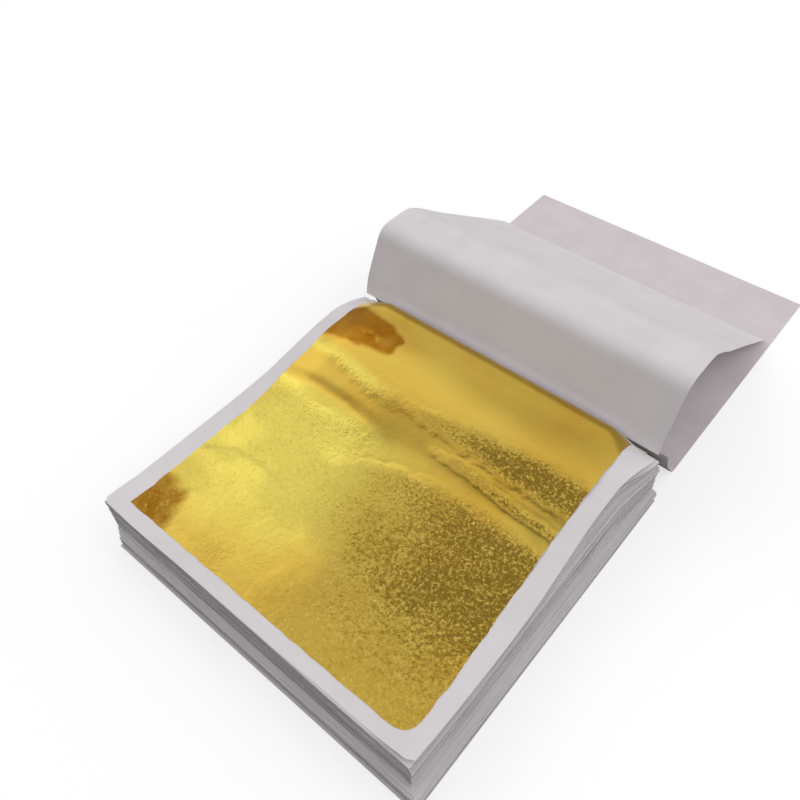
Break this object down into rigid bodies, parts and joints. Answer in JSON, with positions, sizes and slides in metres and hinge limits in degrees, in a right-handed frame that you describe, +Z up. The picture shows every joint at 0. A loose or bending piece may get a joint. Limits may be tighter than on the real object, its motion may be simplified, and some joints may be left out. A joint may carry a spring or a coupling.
{
  "type": "gold leaf booklet",
  "caption": "Glued booklet of thin square paper leaves with a crinkled gold foil on each, opened at the first page, its interleaf and cover turned back over the spine.",
  "frame": {"origin": "centre of the square that the page's width and depth make, on the underside of the back sheet that the booklet rests on", "axes": "+Z up through the block of leaves, +Y from the fore-edge to the glued spine and on along the turned sheets, +X along the spine to the right as the page is read"},
  "size_m": [0.093, 0.1786, 0.0328],
  "materials": {
    "paper": "matte",
    "cover_paper": "matte",
    "gold_leaf": "satin",
    "glue": "satin"
  },
  "bodies": {
    "block": {"back_sheet": "cover_paper", "spine_glue": "glue", "leaves_01": "paper", "leaves_02": "paper", "leaves_03": "paper", "leaves_04": "paper", "leaves_05": "paper", "leaves_06": "paper", "leaves_07": "paper", "leaves_08": "paper", "leaves_09": "paper", "leaves_10": "paper", "foils_01": "gold_leaf", "foils_02": "gold_leaf", "foils_03": "gold_leaf", "foils_04": "gold_leaf", "foils_05": "gold_leaf", "foils_06": "gold_leaf", "foils_07": "gold_leaf", "foils_08": "gold_leaf", "foils_09": "gold_leaf", "foils_10": "gold_leaf", "top_leaf": "paper"},
    "gold_leaf": {"top_gold_leaf": "gold_leaf"},
    "cover_hinge": {"cover_hinge": "cover_paper"},
    "cover_bend": {"cover_bend": "cover_paper"},
    "cover_panel": {"cover_panel": "cover_paper"},
    "interleaf_hinge": {"interleaf_hinge": "paper"},
    "interleaf_riser": {"interleaf_riser": "paper"},
    "interleaf_bend": {"interleaf_bend": "paper"},
    "interleaf_panel": {"interleaf_panel": "paper"}
  },
  "joints": [
    {"name": "gold_leaf_slide", "type": "slide", "parent": "block", "child": "gold_leaf", "axis": [0, -1, 0], "range_m": [0, 0.09]},
    {"name": "cover_turn", "type": "hinge", "parent": "block", "child": "cover_hinge", "pos_m": [0, 0.0455, 0.01502], "axis": [1, 0, 0], "range_deg": [0, 180]},
    {"name": "cover_bend_turn", "type": "hinge", "parent": "cover_hinge", "child": "cover_bend", "pos_m": [0, 0.04779, 0.00873], "axis": [1, 0, 0], "range_deg": [0, 51.9]},
    {"name": "cover_panel_turn", "type": "hinge", "parent": "cover_bend", "child": "cover_panel", "pos_m": [0, 0.05456, 0.00006], "axis": [1, 0, 0], "range_deg": [-48, 0]},
    {"name": "interleaf_turn", "type": "hinge", "parent": "block", "child": "interleaf_hinge", "pos_m": [0, 0.0447, 0.01522], "axis": [1, 0, 0], "range_deg": [0, 34.1]},
    {"name": "interleaf_riser_turn", "type": "hinge", "parent": "interleaf_hinge", "child": "interleaf_riser", "pos_m": [0, 0.0463, 0.0208], "axis": [1, 0, 0], "range_deg": [0, 83.6]},
    {"name": "interleaf_bend_turn", "type": "hinge", "parent": "interleaf_riser", "child": "interleaf_bend", "pos_m": [0, 0.05239, 0.0325], "axis": [1, 0, 0], "range_deg": [0, 67.9]},
    {"name": "interleaf_panel_turn", "type": "hinge", "parent": "interleaf_bend", "child": "interleaf_panel", "pos_m": [0, 0.06339, 0.0327], "axis": [1, 0, 0], "range_deg": [0, 33.1]}
  ],
  "couplings": [
    {"joint": "cover_bend_turn", "follows": "cover_turn", "ratio": 0.28778},
    {"joint": "cover_panel_turn", "follows": "cover_turn", "ratio": -0.26611},
    {"joint": "interleaf_turn", "follows": "cover_turn", "ratio": 0.18889},
    {"joint": "interleaf_riser_turn", "follows": "cover_turn", "ratio": 0.46389},
    {"joint": "interleaf_bend_turn", "follows": "cover_turn", "ratio": 0.37667},
    {"joint": "interleaf_panel_turn", "follows": "cover_turn", "ratio": 0.18333}
  ]
}
